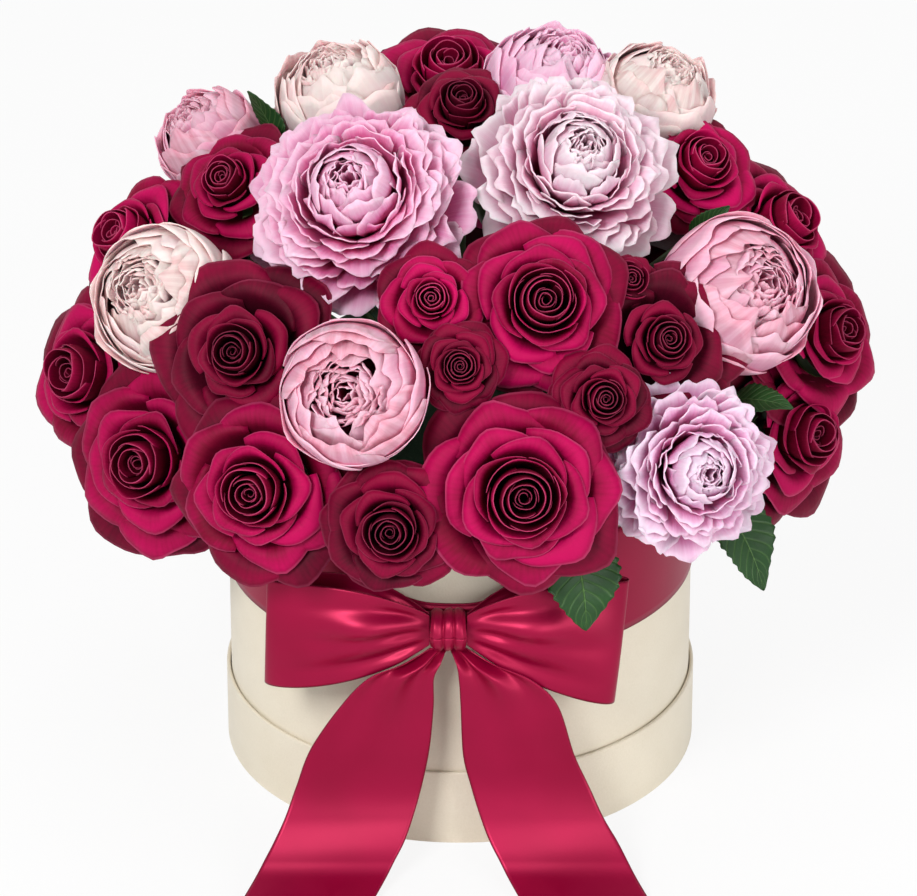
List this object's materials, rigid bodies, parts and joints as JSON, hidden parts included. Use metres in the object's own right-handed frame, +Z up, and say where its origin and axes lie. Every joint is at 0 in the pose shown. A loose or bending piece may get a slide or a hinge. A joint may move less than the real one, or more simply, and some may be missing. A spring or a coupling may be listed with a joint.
{
  "type": "flower box",
  "caption": "Round hat box standing in its own lid, filled with a dome of burgundy roses and pink peonies in wet foam and tied with a wide crimson satin bow.",
  "frame": {"origin": "centre of the lid's underside, on the surface that the box stands on", "axes": "+Z up along the axis of the box, -Y towards the front where the bow is, +X to the right of someone facing the bow"},
  "size_m": [0.4272, 0.4267, 0.3753],
  "materials": {
    "board_cover": "fine-grained pearly cream paper on board",
    "board_inside": "plain board",
    "liner_plastic": "thin clear-to-grey liner",
    "floral_foam": "dull fine-celled foam",
    "satin_ribbon": "crimson satin with a fine woven edge",
    "peony_petal": "soft pink petals, paler at the rims",
    "rose_petal": "velvety burgundy petals",
    "leaf_green": "veined, slightly waxy leaf"
  },
  "bodies": {
    "lid": {"lid_panel": "board_cover", "lid_wall": "board_cover"},
    "box": {"box_floor": "board_inside", "box_wall": "board_cover", "ribbon_band": "satin_ribbon", "bow_knot": "satin_ribbon", "bow_loop_left": "satin_ribbon", "bow_loop_right": "satin_ribbon", "bow_tail_left": "satin_ribbon", "bow_tail_right": "satin_ribbon"},
    "insert": {"liner": "liner_plastic", "foam": "floral_foam", "peony_1": "peony_petal", "peony_2": "peony_petal", "peony_3": "peony_petal", "peony_4": "peony_petal", "peony_5": "peony_petal", "peony_6": "peony_petal", "peony_7": "peony_petal", "peony_8": "peony_petal", "peony_9": "peony_petal", "peony_10": "peony_petal", "peony_11": "peony_petal", "peony_12": "peony_petal", "peony_13": "peony_petal", "rose_1": "rose_petal", "rose_2": "rose_petal", "rose_3": "rose_petal", "rose_4": "rose_petal", "rose_5": "rose_petal", "rose_6": "rose_petal", "rose_7": "rose_petal", "rose_8": "rose_petal", "rose_9": "rose_petal", "rose_10": "rose_petal", "rose_11": "rose_petal", "rose_12": "rose_petal", "rose_13": "rose_petal", "rose_14": "rose_petal", "rose_15": "rose_petal", "rose_16": "rose_petal", "rose_17": "rose_petal", "rose_18": "rose_petal", "rose_19": "rose_petal", "rose_20": "rose_petal", "rose_21": "rose_petal", "rose_22": "rose_petal", "rose_23": "rose_petal", "rose_24": "rose_petal", "rose_25": "rose_petal", "rose_26": "rose_petal", "rose_27": "rose_petal", "rose_28": "rose_petal", "leaf_1": "leaf_green", "leaf_2": "leaf_green", "leaf_3": "leaf_green", "leaf_4": "leaf_green", "leaf_5": "leaf_green", "leaf_6": "leaf_green"}
  },
  "joints": [
    {"name": "box_lift", "type": "slide", "parent": "lid", "child": "box", "axis": [0, 0, 1], "range_m": [0, 0.06]},
    {"name": "insert_lift", "type": "slide", "parent": "box", "child": "insert", "axis": [0, 0, 1], "range_m": [0, 0.19]}
  ]
}
